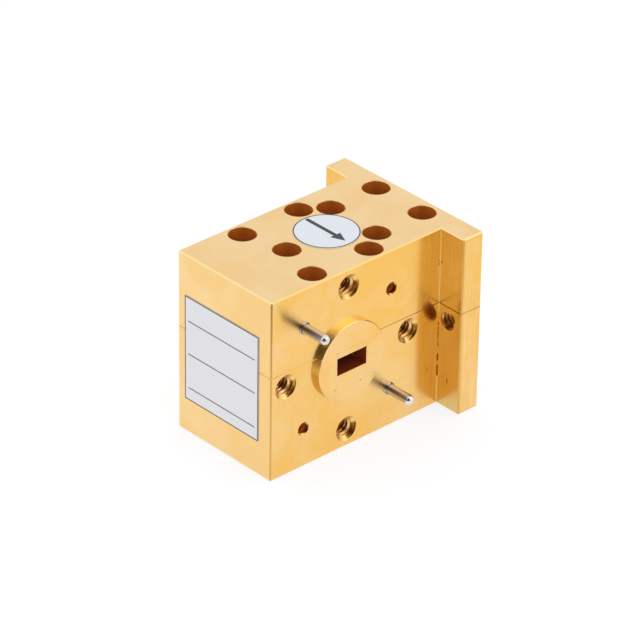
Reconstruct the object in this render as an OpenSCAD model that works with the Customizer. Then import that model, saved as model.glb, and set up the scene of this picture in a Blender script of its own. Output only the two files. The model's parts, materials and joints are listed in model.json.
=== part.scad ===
// Waveguide circulator: a gold plated block split along a flat seam, with three flange ports,
// a Y junction milled into its lower half and a ferrite stack between two magnets.
// X runs from the left port to the right port, Y towards the rear port and Z up.
// The origin is on the bottom face, under the axis of the junction. Sizes are in millimetres.

/* [Block] */
// Width of the stem, from the left port face to the right port face
stem_w = 20.1; // [19.6:0.1:20.8]
// Height of the block
block_h = 29.7; // [28.4:0.1:34]
// From the junction axis to the front face
front_reach = 19.6; // [19:0.1:26]
// From the junction axis to the rear port face
rear_reach = 17.2; // [16.6:0.1:24]
// Thickness of the wings beside the rear port
wing_t = 3.95; // [3:0.05:5]
// How far each wing stands out past the stem
wing_out = 4.7; // [4.2:0.1:8]
// Edge break round the outside of the block
edge_break = 0.2; // [0.1:0.05:0.4]
// Edge break along the seam
seam_break = 0.08; // [0.04:0.02:0.2]
// Edge break at the mouths of the screw pockets and on the raised port faces
fine_break = 0.1; // [0.04:0.02:0.2]

/* [Waveguide] */
// Broad wall of the guide
guide_a = 5.69; // [5.2:0.01:5.9]
// Narrow wall of the guide
guide_b = 2.845; // [2.6:0.005:3]
// From the junction axis forward to the axis of the side ports
side_port_set = 4.85; // [4.5:0.05:5.1]
// Height of the seam above the roof of the guide
seam_rise = 0.95; // [0.6:0.05:1.2]
// Gap beside the tongue that closes the guide
tongue_gap = 0.02; // [0.01:0.01:0.05]

/* [Flange ports] */
// Diameter of the raised port face
boss_d = 12.7; // [12:0.1:14]
// Height of the raised port face
boss_h = 0.93; // [0.5:0.01:1.5]
// Diameter of the circle that carries screws, pins and guide holes
bolt_circle = 23.8125; // [23.4:0.0125:24]
// Major diameter of the tapped holes
tap_d = 2.845; // [2.5:0.005:3]
// Diameter of the tapped holes at the port face
tap_mouth_d = 4; // [3.4:0.1:4.2]
// Depth of the widening at the mouths of the tapped holes
tap_mouth_depth = 0.48; // [0.3:0.02:0.48]
// Full depth of the tapped holes
tap_depth = 3.8; // [3:0.1:3.9]
// Diameter of the guide holes
guide_hole_d = 1.7; // [1.6:0.05:1.8]
// Full depth of the guide holes
guide_hole_depth = 4; // [3:0.1:4.2]
// Diameter of the guide holes at the port face
guide_mouth_d = 2.1; // [1.9:0.05:2.4]

/* [Guide pins] */
// Diameter of the free end of a guide pin
pin_d = 1.56; // [1.5:0.01:1.58]
// Diameter of the pressed end of a guide pin
pin_root_d = 2; // [1.8:0.05:2.1]
// How far a guide pin stands out of the port face
pin_out = 4.9; // [3:0.1:6]
// How far a guide pin is pressed into the block
pin_in = 2.2; // [1.6:0.1:2.4]
// How far the pressed end stands out of the port face as a collar
pin_collar = 0.2; // [0.15:0.05:0.4]
// Rounding at the tip of a guide pin
pin_tip_r = 0.7; // [0.1:0.05:0.7]

/* [Closing screws] */
// Diameter of the screw pockets
pocket_d = 4.2; // [4:0.1:4.4]
// Metal left between the floors of the screw pockets and the guide pins under them
pocket_floor = 0.33; // [0.2:0.01:0.5]
// Diameter of the plain holes in the upper half
clear_d = 2.2; // [2.1:0.05:2.3]
// Thread diameter of the screws
screw_d = 2; // [1.6:0.1:2]
// Length of the screws under the head
screw_len = 12; // [10:1:14]
// Diameter of the screw heads
head_d = 3.8; // [3:0.1:3.8]
// Height of the screw heads
head_h = 2; // [1.4:0.1:3]
// Width of the hexagon sockets across their flats
hex_w = 1.5; // [1.2:0.1:1.8]
// Depth of the hexagon sockets
hex_depth = 1; // [0.6:0.1:1.2]
// Depth of the tapped holes past the screw tips
tap_run = 0.8; // [0.4:0.1:1.5]
// Half spacing of the two screws by the rear port
rear_screw_x = 4.9; // [4.8:0.1:5.2]
// From the rear port face to those screws
rear_screw_set = 2.9; // [2.7:0.1:3.1]
// Half spacing of the two screws beside the rear arm
arm_screw_x = 4.9; // [4.8:0.1:5]
// From the junction axis back to those screws
arm_screw_y = 5.3; // [5.2:0.1:5.6]
// Half spacing of the two screws behind the side arms
elbow_screw_x = 7.5; // [7.3:0.1:7.5]
// From the junction axis back to those screws
elbow_screw_y = 1.35; // [1.2:0.05:1.4]
// From the junction axis forward to the single screw
nose_screw_set = 7.7; // [7.4:0.1:9]
// Half spacing of the two screws in front of the side arms
front_screw_x = 7.45; // [7:0.05:7.5]
// From the junction axis forward to those screws
front_screw_set = 9.6; // [9.5:0.1:10]

/* [Dowels] */
// Diameter of the dowels between the two halves
dowel_d = 2; // [1.5:0.1:2.2]
// Length of the dowels
dowel_len = 6; // [4:0.5:8]
// From the front face to the front dowel
front_dowel_set = 4.6; // [3:0.1:6]
// From the rear port face to the rear dowel
rear_dowel_set = 6.5; // [6.4:0.1:7]
// From the mid plane to the rear dowel
rear_dowel_x = 7; // [6:0.1:7.5]

/* [Junction] */
// Diameter of the step that carries a ferrite disc
step_d = 5.4; // [4:0.1:5.6]
// Height of the step that carries a ferrite disc
step_h = 0.45; // [0.3:0.01:0.5]
// Diameter of the ferrite discs and the spacer
ferrite_d = 3.2; // [2.4:0.1:3.8]
// Thickness of a ferrite disc
ferrite_t = 0.75; // [0.6:0.01:0.78]

/* [Magnets] */
// Diameter of the magnets
magnet_d = 6.9; // [5:0.1:7.4]
// Gap round a magnet and behind it
magnet_gap = 0.05; // [0.03:0.01:0.1]
// Metal left between a magnet pocket and the guide
magnet_wall = 1.4; // [1.2:0.1:2]
// Diameter of the covers that close the magnet pockets
cover_d = 8.4; // [8:0.1:8.8]
// Thickness of the covers
cover_t = 2; // [1:0.1:3]

/* [Labels] */
// Diameter of the round label
flow_label_d = 9.8; // [9:0.1:10]
// Width of the label on the front face
data_label_w = 15.9; // [10:0.1:17]
// Height of the label on the front face
data_label_h = 17.3; // [10:0.1:24]
// From the mid plane left to the middle of that label
data_label_left = 0.5; // [0:0.1:1]
// From the port axis down to the middle of that label
data_label_drop = 0.5; // [0:0.1:2]
// Thickness of both labels
label_t = 0.1; // [0.05:0.05:0.3]

/* [Fits] */
// Gap round what is pressed or screwed in
press_gap = 0.01; // [0.01:0.01:0.03]

/* [Hidden] */
$fn = 64;

// How far a cut runs past the face that it opens
over = 0.5;
// How far a raised form is rooted in the metal that carries it
root = 0.5;
// Slope of a drill's point, measured from the flat bottom
drill_slope = 31;
// Chamfer at the ends of screws and dowels
end_break = 0.3;

// Angles on the bolt circle, seen from outside, from the right hand side upwards
PIN_HIGH_ANGLE = 135;
PIN_LOW_ANGLE = 315;
GUIDE_HOLE_ANGLES = [45, 225];

// Levels, from the bottom face
port_h = block_h / 2;
guide_floor = port_h - guide_b / 2;
guide_roof = port_h + guide_b / 2;
seam_z = guide_roof + seam_rise;
seat_z = port_h + bolt_circle / 2 * sin(PIN_HIGH_ANGLE) + pin_root_d / 2 + pocket_floor;
magnet_low_top = guide_floor - magnet_wall;
magnet_high_foot = guide_roof + magnet_wall;

// Places of the outer faces
stem_side = stem_w / 2;
wing_end = stem_side + wing_out;
wing_front = rear_reach - wing_t;
far = 2 * (front_reach + rear_reach);

// A side arm leaves the junction at this slope and turns square to its port at the elbow
arm_slope = 30;
elbow_x = side_port_set / tan(arm_slope);
arm_len = side_port_set / sin(arm_slope);

// Angles about Z that face the ports outwards
RIGHT_ANGLE = 90;
REAR_ANGLE = 180;
LEFT_ANGLE = 270;

// A port is the place of its axis on the block, then its angle
RIGHT = [stem_side, -side_port_set, RIGHT_ANGLE];
LEFT = [-stem_side, -side_port_set, LEFT_ANGLE];
REAR = [0, rear_reach, REAR_ANGLE];
PORTS = [RIGHT, LEFT, REAR];

// Places of the closing screws
function pair(x, y) = [[-x, y], [x, y]];
SCREWS = concat(
    pair(rear_screw_x, rear_reach - rear_screw_set),
    pair(arm_screw_x, arm_screw_y),
    pair(elbow_screw_x, elbow_screw_y),
    [[0, -nose_screw_set]],
    pair(front_screw_x, -front_screw_set)
);
FRONT_DOWEL = [0, front_dowel_set - front_reach];
REAR_DOWEL = [rear_dowel_x, rear_reach - rear_dowel_set];

// Colours
gold = [0.93, 0.73, 0.38];
steel = [0.72, 0.73, 0.75];
dark_ceramic = [0.16, 0.16, 0.18];
white_ceramic = [0.9, 0.9, 0.86];
magnet_grey = [0.42, 0.42, 0.44];
label_white = [0.88, 0.9, 0.92];

// Puts what it holds on a port: X to the right and Y up as seen from outside, Z out of the face
module at_port(port) {
    translate([port[0], port[1], port_h]) rotate([90, 0, port[2]]) children();
}

// Puts what it holds on the bolt circle of a port
module on_circle(angle) {
    rotate([0, 0, angle]) translate([bolt_circle / 2, 0, 0]) children();
}

// A bar along X that cuts an edge break of the given size
module edge_bar(length, size) {
    width = size * sqrt(2);
    rotate([45, 0, 0]) cube([length, width, width], center = true);
}

// A box between two corners, with its own edge break at the bottom, at the top and on its sides
module broken_box(low, high, bottom_break, top_break) {
    size = high - low;
    middle = (low + high) / 2;
    difference() {
        translate(low) cube(size);
        for (level = [[low[2], bottom_break], [high[2], top_break]]) {
            for (y = [low[1], high[1]]) {
                translate([middle[0], y, level[0]]) edge_bar(size[0] + over, level[1]);
            }
            for (x = [low[0], high[0]]) {
                translate([x, middle[1], level[0]]) rotate([0, 0, 90]) edge_bar(size[1] + over, level[1]);
            }
        }
        for (x = [low[0], high[0]], y = [low[1], high[1]]) {
            translate([x, y, middle[2]]) rotate([0, 90, 0]) edge_bar(size[2] + over, edge_break);
        }
    }
}

// The raised round face of a port
module boss() {
    radius = boss_d / 2;
    rotate_extrude() polygon([
        [0, -root], [radius, -root], [radius, boss_h - fine_break],
        [radius - fine_break, boss_h], [0, boss_h]
    ]);
}

// The T shaped block and its port faces between two levels
module plain_half(z_low, z_high, bottom_break, top_break) {
    stem_low = [-stem_side, -front_reach, z_low];
    stem_high = [stem_side, wing_front + wing_t / 2, z_high];
    broken_box(stem_low, stem_high, bottom_break, top_break);
    broken_box([-wing_end, wing_front, z_low], [wing_end, rear_reach, z_high], bottom_break, top_break);
    intersection() {
        for (port = PORTS) at_port(port) boss();
        translate([-far, -far, z_low]) cube([2 * far, 2 * far, z_high - z_low]);
    }
}

// The edge break that the seam has across the raised port faces
module boss_seam() {
    for (port = PORTS) {
        at_port(port) translate([0, seam_z - port_h, boss_h]) edge_bar(boss_d + over, seam_break);
    }
}

// The widening at a hole's mouth, with the hole along Z and the face at zero
module mouth(d, mouth_d, depth) {
    spread = (mouth_d - d) / depth;
    translate([0, 0, -depth]) cylinder(h = depth + over, d1 = d, d2 = mouth_d + spread * over);
}

// A drilled hole that ends in the metal in a drill's point
module blind_hole(d, depth) {
    point = d / 2 * tan(drill_slope);
    translate([0, 0, -depth]) cylinder(h = depth + over, d = d);
    translate([0, 0, -depth - point]) cylinder(h = point, d1 = 0, d2 = d);
}

// A tapped hole that goes right through a wing
module wing_hole() {
    translate([0, 0, -wing_t - over]) cylinder(h = wing_t + 2 * over, d = tap_d);
}

// All the holes in a port face, at their places on the bolt circle
module port_holes(port) {
    for (angle = [0:90:270]) {
        on_circle(angle) {
            if (port == REAR && angle % 180 == 0) wing_hole();
            else blind_hole(tap_d, tap_depth);
            mouth(tap_d, tap_mouth_d, tap_mouth_depth);
        }
    }
    for (angle = GUIDE_HOLE_ANGLES) {
        on_circle(angle) {
            blind_hole(guide_hole_d, guide_hole_depth);
            mouth(guide_hole_d, guide_mouth_d, (guide_mouth_d - guide_hole_d) / 2);
        }
    }
    for (angle = [PIN_LOW_ANGLE, PIN_HIGH_ANGLE]) {
        on_circle(angle) blind_hole(pin_root_d + 2 * press_gap, pin_in);
    }
}

// Plan of the guide: three arms that meet in a Y, the side arms with an elbow each,
// all cut off at the port faces or the given way past them
module guide_plan(width, past) {
    side_end = stem_side + boss_h + past;
    rear_end = rear_reach + boss_h + past;
    intersection() {
        translate([-side_end, -far]) square([2 * side_end, far + rear_end]);
        union() {
            translate([-width / 2, 0]) square([width, far]);
            for (side = [0, 1]) {
                mirror([side, 0]) {
                    rotate(-arm_slope) translate([0, -width / 2]) square([arm_len, width]);
                    translate([elbow_x, -side_port_set]) circle(d = width);
                    translate([elbow_x, -side_port_set - width / 2]) square([far, width]);
                }
            }
        }
    }
}

// A blind pocket for a magnet and its cover, opening downwards at zero
module magnet_pocket(depth) {
    translate([0, 0, -over]) cylinder(h = cover_t + over, d = cover_d + 2 * press_gap);
    cylinder(h = depth, d = magnet_d + 2 * magnet_gap);
}

// The two dowel holes, reaching the same way into both halves
module dowel_holes() {
    half = dowel_len / 2 + press_gap;
    for (place = [FRONT_DOWEL, REAR_DOWEL]) {
        translate([place[0], place[1], seam_z - half]) cylinder(h = 2 * half, d = dowel_d + 2 * press_gap);
    }
}

// Lower half: carries the guide as an open groove, the tapped screw holes and the lower magnet
module lower_housing() {
    tapped_foot = seat_z - screw_len - tap_run;
    color(gold) union() {
        difference() {
            plain_half(0, seam_z, edge_break, seam_break);
            boss_seam();
            for (port = PORTS) at_port(port) port_holes(port);
            translate([0, 0, guide_floor]) {
                linear_extrude(seam_z - guide_floor + over) guide_plan(guide_a, over);
            }
            for (place = SCREWS) {
                translate([place[0], place[1], tapped_foot]) {
                    cylinder(h = seam_z - tapped_foot + over, d = screw_d + 2 * press_gap);
                }
            }
            dowel_holes();
            magnet_pocket(magnet_low_top);
        }
        translate([0, 0, guide_floor - root]) cylinder(h = step_h + root, d = step_d);
    }
}

// Upper half: carries the screw pockets, and a tongue that closes the groove as the guide's roof
module upper_housing() {
    color(gold) union() {
        difference() {
            plain_half(seam_z, block_h, seam_break, edge_break);
            boss_seam();
            for (port = PORTS) at_port(port) port_holes(port);
            for (place = SCREWS) {
                translate([place[0], place[1], seam_z - over]) {
                    cylinder(h = seat_z - seam_z + 2 * over, d = clear_d);
                }
                translate([place[0], place[1], seat_z]) cylinder(h = block_h - seat_z + over, d = pocket_d);
                translate([place[0], place[1], block_h]) {
                    mouth(pocket_d, pocket_d + 2 * fine_break, fine_break);
                }
            }
            dowel_holes();
            translate([0, 0, block_h]) mirror([0, 0, 1]) magnet_pocket(block_h - magnet_high_foot);
        }
        difference() {
            translate([0, 0, guide_roof]) {
                linear_extrude(seam_rise + seam_break) guide_plan(guide_a - 2 * tongue_gap, 0);
            }
            translate([0, 0, block_h]) mirror([0, 0, 1]) magnet_pocket(block_h - magnet_high_foot);
        }
        translate([0, 0, guide_roof - step_h]) cylinder(h = step_h + root, d = step_d);
    }
}

// A socket head screw with the underside of its head at zero
module closing_screw() {
    shank_r = screw_d / 2;
    head_r = head_d / 2;
    difference() {
        rotate_extrude() polygon([
            [0, -screw_len], [shank_r - end_break, -screw_len], [shank_r, end_break - screw_len],
            [shank_r, 0], [head_r, 0], [head_r, head_h - fine_break],
            [head_r - fine_break, head_h], [0, head_h]
        ]);
        translate([0, 0, head_h - hex_depth]) {
            cylinder(h = hex_depth + over, d = hex_w / cos(30), $fn = 6);
        }
    }
}

module closing_screws() {
    color(steel) for (place = SCREWS) translate([place[0], place[1], seat_z]) closing_screw();
}

// A dowel with chamfered ends, half in each half of the block
module dowel(place) {
    radius = dowel_d / 2;
    color(steel) translate([place[0], place[1], seam_z - dowel_len / 2]) rotate_extrude() polygon([
        [0, 0], [radius - end_break, 0], [radius, end_break],
        [radius, dowel_len - end_break], [radius - end_break, dowel_len], [0, dowel_len]
    ]);
}

module front_dowel() {
    dowel(FRONT_DOWEL);
}

module rear_dowel() {
    dowel(REAR_DOWEL);
}

// One disc of the ferrite stack
module stack_disc(z_low, z_high) {
    translate([0, 0, z_low]) cylinder(h = z_high - z_low, d = ferrite_d);
}

lower_stack = guide_floor + step_h;
upper_stack = guide_roof - step_h;

module lower_ferrite() {
    color(dark_ceramic) stack_disc(lower_stack, lower_stack + ferrite_t);
}

module upper_ferrite() {
    color(dark_ceramic) stack_disc(upper_stack - ferrite_t, upper_stack);
}

module ferrite_spacer() {
    color(white_ceramic) stack_disc(lower_stack + ferrite_t, upper_stack - ferrite_t);
}

// A magnet between two levels
module magnet(z_low, z_high) {
    color(magnet_grey) translate([0, 0, z_low]) cylinder(h = z_high - z_low, d = magnet_d);
}

module lower_magnet() {
    magnet(cover_t + magnet_gap, magnet_low_top);
}

module upper_magnet() {
    magnet(magnet_high_foot, block_h - cover_t - magnet_gap);
}

// A cover that closes a magnet pocket, flush with the face at zero and going up from it
module magnet_cover() {
    radius = cover_d / 2;
    color(gold) rotate_extrude() polygon([
        [0, 0], [radius - fine_break, 0], [radius, fine_break], [radius, cover_t], [0, cover_t]
    ]);
}

module lower_magnet_cover() {
    magnet_cover();
}

module upper_magnet_cover() {
    translate([0, 0, block_h]) mirror([0, 0, 1]) magnet_cover();
}

// A guide pin with the port face at zero: a pressed end with its collar, a free end and a round tip
module guide_pin(port, angle) {
    root_r = pin_root_d / 2;
    free_r = pin_d / 2;
    color(steel) at_port(port) on_circle(angle) rotate_extrude() {
        polygon([
            [0, -pin_in], [root_r, -pin_in], [root_r, pin_collar - fine_break],
            [root_r - fine_break, pin_collar], [0, pin_collar]
        ]);
        square([free_r, pin_out - pin_tip_r]);
        square([free_r - pin_tip_r, pin_out]);
        translate([free_r - pin_tip_r, pin_out - pin_tip_r]) {
            intersection() {
                circle(r = pin_tip_r);
                square(pin_tip_r);
            }
        }
    }
}

// The round label over the upper magnet cover
module flow_label() {
    color(label_white) translate([0, 0, block_h]) cylinder(h = label_t, d = flow_label_d);
}

// The label on the front face, across the seam
module data_label() {
    left = -data_label_left - data_label_w / 2;
    foot = port_h - data_label_drop - data_label_h / 2;
    color(label_white) translate([left, -front_reach - label_t, foot]) {
        cube([data_label_w, label_t, data_label_h]);
    }
}

lower_housing();
upper_housing();
closing_screws();
front_dowel();
rear_dowel();
lower_ferrite();
upper_ferrite();
ferrite_spacer();
lower_magnet();
upper_magnet();
lower_magnet_cover();
upper_magnet_cover();
guide_pin(RIGHT, PIN_HIGH_ANGLE);  // right_pin_high
guide_pin(RIGHT, PIN_LOW_ANGLE);  // right_pin_low
guide_pin(LEFT, PIN_HIGH_ANGLE);  // left_pin_high
guide_pin(LEFT, PIN_LOW_ANGLE);  // left_pin_low
guide_pin(REAR, PIN_HIGH_ANGLE);  // rear_pin_high
guide_pin(REAR, PIN_LOW_ANGLE);  // rear_pin_low
flow_label();
data_label();
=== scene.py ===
import json
import math
from types import SimpleNamespace
import bmesh
import bpy
from bpy.props import FloatProperty, FloatVectorProperty, IntProperty, PointerProperty
from mathutils import Matrix, Vector


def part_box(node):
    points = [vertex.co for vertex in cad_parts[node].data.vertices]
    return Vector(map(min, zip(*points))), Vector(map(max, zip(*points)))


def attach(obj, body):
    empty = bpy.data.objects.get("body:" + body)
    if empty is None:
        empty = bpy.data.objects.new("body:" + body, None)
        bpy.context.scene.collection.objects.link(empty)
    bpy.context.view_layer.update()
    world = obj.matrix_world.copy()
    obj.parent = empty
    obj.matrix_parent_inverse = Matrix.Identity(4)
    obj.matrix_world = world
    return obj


bl_info = {
    "name": "Waveguide circulator looks",
    "version": (1, 0, 0),
    "blender": (4, 5, 0),
    "location": "View3D > Sidebar > Circulator",
    "description": "Plating, threads, labels, steel parts and a studio for a waveguide circulator",
    "category": "Object",
}

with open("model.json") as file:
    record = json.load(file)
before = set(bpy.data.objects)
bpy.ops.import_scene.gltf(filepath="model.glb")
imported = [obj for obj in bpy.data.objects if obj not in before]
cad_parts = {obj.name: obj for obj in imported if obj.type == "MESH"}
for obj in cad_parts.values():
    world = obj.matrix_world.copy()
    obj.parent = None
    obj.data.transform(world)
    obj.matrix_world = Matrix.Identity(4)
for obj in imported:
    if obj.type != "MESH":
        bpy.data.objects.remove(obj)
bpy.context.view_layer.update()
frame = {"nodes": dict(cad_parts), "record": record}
BODY = "root"
MM = 0.001
PER_MM = 1000

MOUNTS = {mount["name"]: mount for mount in frame["record"]["mounts"]}
UP = Vector((0, 0, 1))
BLOCK_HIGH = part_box("upper_housing")[1]
BLOCK_LOW, LOWER_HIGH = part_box("lower_housing")
SEAM = LOWER_HIGH.z
# Reaches, in millimetres, over which sharp and softer masks on the plating fade
SKIN, FADE = 0.02, 0.1
# Places of the port sides, the rear and the top of the block, in millimetres
SIDE, REAR = PER_MM * MOUNTS["right_flange"]["pos_m"][0], PER_MM * MOUNTS["rear_flange"]["pos_m"][1]
TOP = PER_MM * BLOCK_HIGH.z
# Middles of the screw pockets on the right and in the middle, in millimetres; the left is the mirror image
POCKETS = ((4.9, 14.3), (4.9, 5.3), (7.5, 1.35), (0, -7.7), (7.45, -9.6))
# Middles and half sizes, in millimetres, of the marks on the right hand side
SPECKS = (
    ((10.36, 13.25, 24.14), (0.12, 0.05, 0.12)), ((10.05, 13.1, 23.73), (0.05, 0.1, 0.12)),
    ((12.18, 13.25, 4.75), (0.09, 0.05, 0.4)), ((10.98, -3.06, 11.02), (0.05, 0.1, 0.08)),
    ((10.98, -8.05, 11.2), (0.05, 0.1, 0.08)), ((10.98, -0.29, 11.11), (0.05, 0.08, 0.08)),
    ((10.1, 13.2, 5.7), (0.07, 0.07, 0.85)), ((10.1, 13.2, 7.9), (0.07, 0.07, 0.6)),
)
# The same for the finer broken dark line in the corner above the last two
DARK_CORNER_LINE = ((10.11, 13.19, 11.7), (0.06, 0.06, 3))
SPECK_STRENGTH = 0.85
# Share of a softbox's or the dark side's spread over which it fades
PATCH_EDGE = 0.13

# Spans of the masks on the plating, as inputs of Map Range nodes: 1 and 2 are the values at which a mask
# begins and ends, and 3 and 4 are what it gives there, if that isn't 0 and 1. Places are in millimetres.
CLOUDS = {1: 0.34, 2: 0.66}
FACES_FRONT = {1: -0.7, 2: -0.9}
FACES_REAR = {1: 0.3, 2: 0.8, 3: 1, 4: 0.5}
FACES_LEVEL = {1: 0.5, 2: 0.9, 3: 1, 4: 0}
FACES_ASLANT = {1: 0.9, 2: 0.75}
FACES_UP_FRONT = {1: -0.3, 2: -0.4}
FACES_UP_RIGHT = {1: 0.3, 2: 0.4}
TO_THE_RIGHT = {1: 0, 2: 9, 4: 0.7}
TO_THE_REAR = {1: 8, 2: 12}
UP_THE_SIDES = {1: 4, 2: 32, 3: -0.1, 4: 0.7}
UP_THE_CORNER = {1: 5, 2: 15}
OFF_THE_JOINT = {1: 0.1, 2: 0.15}
OFF_THE_NOOK = {1: 0, 2: 0.1}
EDGE_OF_WING = {3: 0.4, 4: 0.75}
TURNED_WALL = {1: 0.3, 2: 0.1}
TURNED_CROWN = {1: -0.05, 2: 0.15}
MARKED = {**TO_THE_REAR, 3: 0.1, 4: 0.9}
FURROWED = {1: 0.48, 2: 0.68, 4: 0.7}
ROUNDED = {1: 0.06, 2: -0.16, 4: 0.7}
SHADED = {1: 0.36, 2: 0.5}
RINGED = {1: 0.5, 2: 0.6}
# The painted joint shadow fades towards the front and near the rear corner
JOINT_FADE = {1: -9, 2: 2, 3: 0.35, 4: 1}
CORNER_JOINT = {1: 8, 2: 9.5, 4: 0.8}
SPECKED = {1: 0.03, 2: -0.03}
BROKEN = {1: 0.46, 2: 0.54, 4: 0.8}
STREAKED = {1: 0.42, 2: 0.58}
FIRST_CREST = {1: 0.05, 2: -0.05, 4: 0.85}

# Directions in which the painted reflection on the port sides grows warmer, in which the painted shaded side of
# a mouth faces, and of the grain
WARM_SLANT, SHADED_FACING, GRAIN_LIE = (0, 0.9, 1), (0, -0.85, 0.53), (0.05, 0.1, 1)
# Heights, in millimetres, of the darkest painted shade on the right wing's front and of the foot of the plain
# part of an inner corner, the heights between which its middle isn't rounded, half the width of the rounding,
# and a margin
CORNER_MIDDLE, NOOK_FOOT, ROUND_LOW, ROUND_HIGH, ROUND_HALF, MARGIN = 9, 16, 4.6, 15.5, 0.2, 0.3
# Depths, in millimetres, between which the crest next to a mouth lies, which gets a painted highlight, and
# more than half the block
CREST_DEPTHS, BEYOND = (0.4, 0.95), 40
# Stretches of the milling marks, the tool rings and the flecks in the crevice, as scales of their noises
MARK_SHAPE, RING_SHAPE, FLECK_SHAPE = (1, 1, 0.03), (3.2, 0.4, 0.4), (1, 1, 0.7)
# Sizes, in millimetres, of the rings, the flecks, the streaks on the threads and the spots on ground steel.
# All but the flecks are finer than a pixel on the real one, so they are drawn as coarse as they need to show.
RING, FLECK, STREAK, SPOT = 1, 1 / 2.2, 0.625, 0.4
# Heights of the relief in the finishes
MARK_HEIGHT, SPECKLE_HEIGHT = 0.003 * MM, 0.01 * MM
PORTS = ("right", "left", "rear")
# Heights of the ruled lines below the top of the front label
RULE_DROPS = (4.1 * MM, 9.6 * MM, 15.3 * MM)
RIM_SEGMENTS = 96
# The angle, in degrees, past which an edge of a thread stays sharp
SHARP = 40
WHITE = (1, 1, 1)
# The nearest and the farthest that the camera sees, and the gap between the block and the floor
CLIP, FLOOR_GAP = (10 * MM, 20000 * MM), 0.01 * MM


def linear(code):
    """The linear colour of an sRGB hex code."""
    parts = [int(code[i:i + 2], 16) / 255 for i in (1, 3, 5)]
    return [c / 12.92 if c <= 0.04045 else ((c + 0.055) / 1.055) ** 2.4 for c in parts]


def colour(name, description, code):
    return FloatVectorProperty(
        name=name, description=description, subtype="COLOR", min=0, max=1, default=linear(code)
    )


def length(name, description, millimetres):
    return FloatProperty(
        name=name, description=description, subtype="DISTANCE", unit="LENGTH", precision=6,
        default=millimetres * MM,
    )


def angle(name, description, degrees):
    return FloatProperty(
        name=name, description=description, subtype="ANGLE", unit="ROTATION",
        default=math.radians(degrees),
    )


def share(name, description, value):
    return FloatProperty(name=name, description=description, subtype="FACTOR", min=0, max=1, default=value)


def lamp_level(name, description, value):
    return FloatVectorProperty(name=name, description=description, subtype="COLOR", min=0, default=value)


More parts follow.
